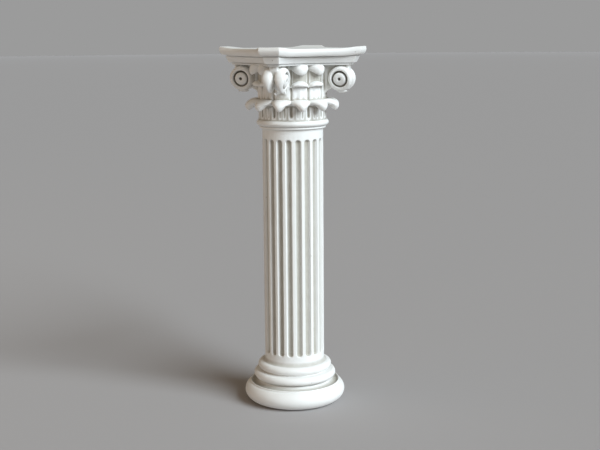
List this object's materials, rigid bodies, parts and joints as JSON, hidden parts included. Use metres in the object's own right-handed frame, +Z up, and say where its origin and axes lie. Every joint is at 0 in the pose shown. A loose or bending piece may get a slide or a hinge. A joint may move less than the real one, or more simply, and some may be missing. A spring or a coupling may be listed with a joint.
{
  "type": "corinthian column",
  "caption": "Small cast corinthian column: moulded round base, fluted shaft, leafy capital with paired corner volutes and an abacus with hollow sides.",
  "frame": {"origin": "middle of the underside of the base, on the surface that the column stands on", "axes": "+Z up along the shaft; the hollow sides of the abacus face +X, -X, +Y and -Y, and its cut corners and the volutes lie on the diagonals"},
  "size_m": [0.0978, 0.0978, 0.3],
  "materials": {
    "plaster": "matt cast plaster, warm white, softly rounded edges, fine pits and faint grey in the recesses"
  },
  "bodies": {
    "root": {"column": "plaster"}
  },
  "joints": []
}
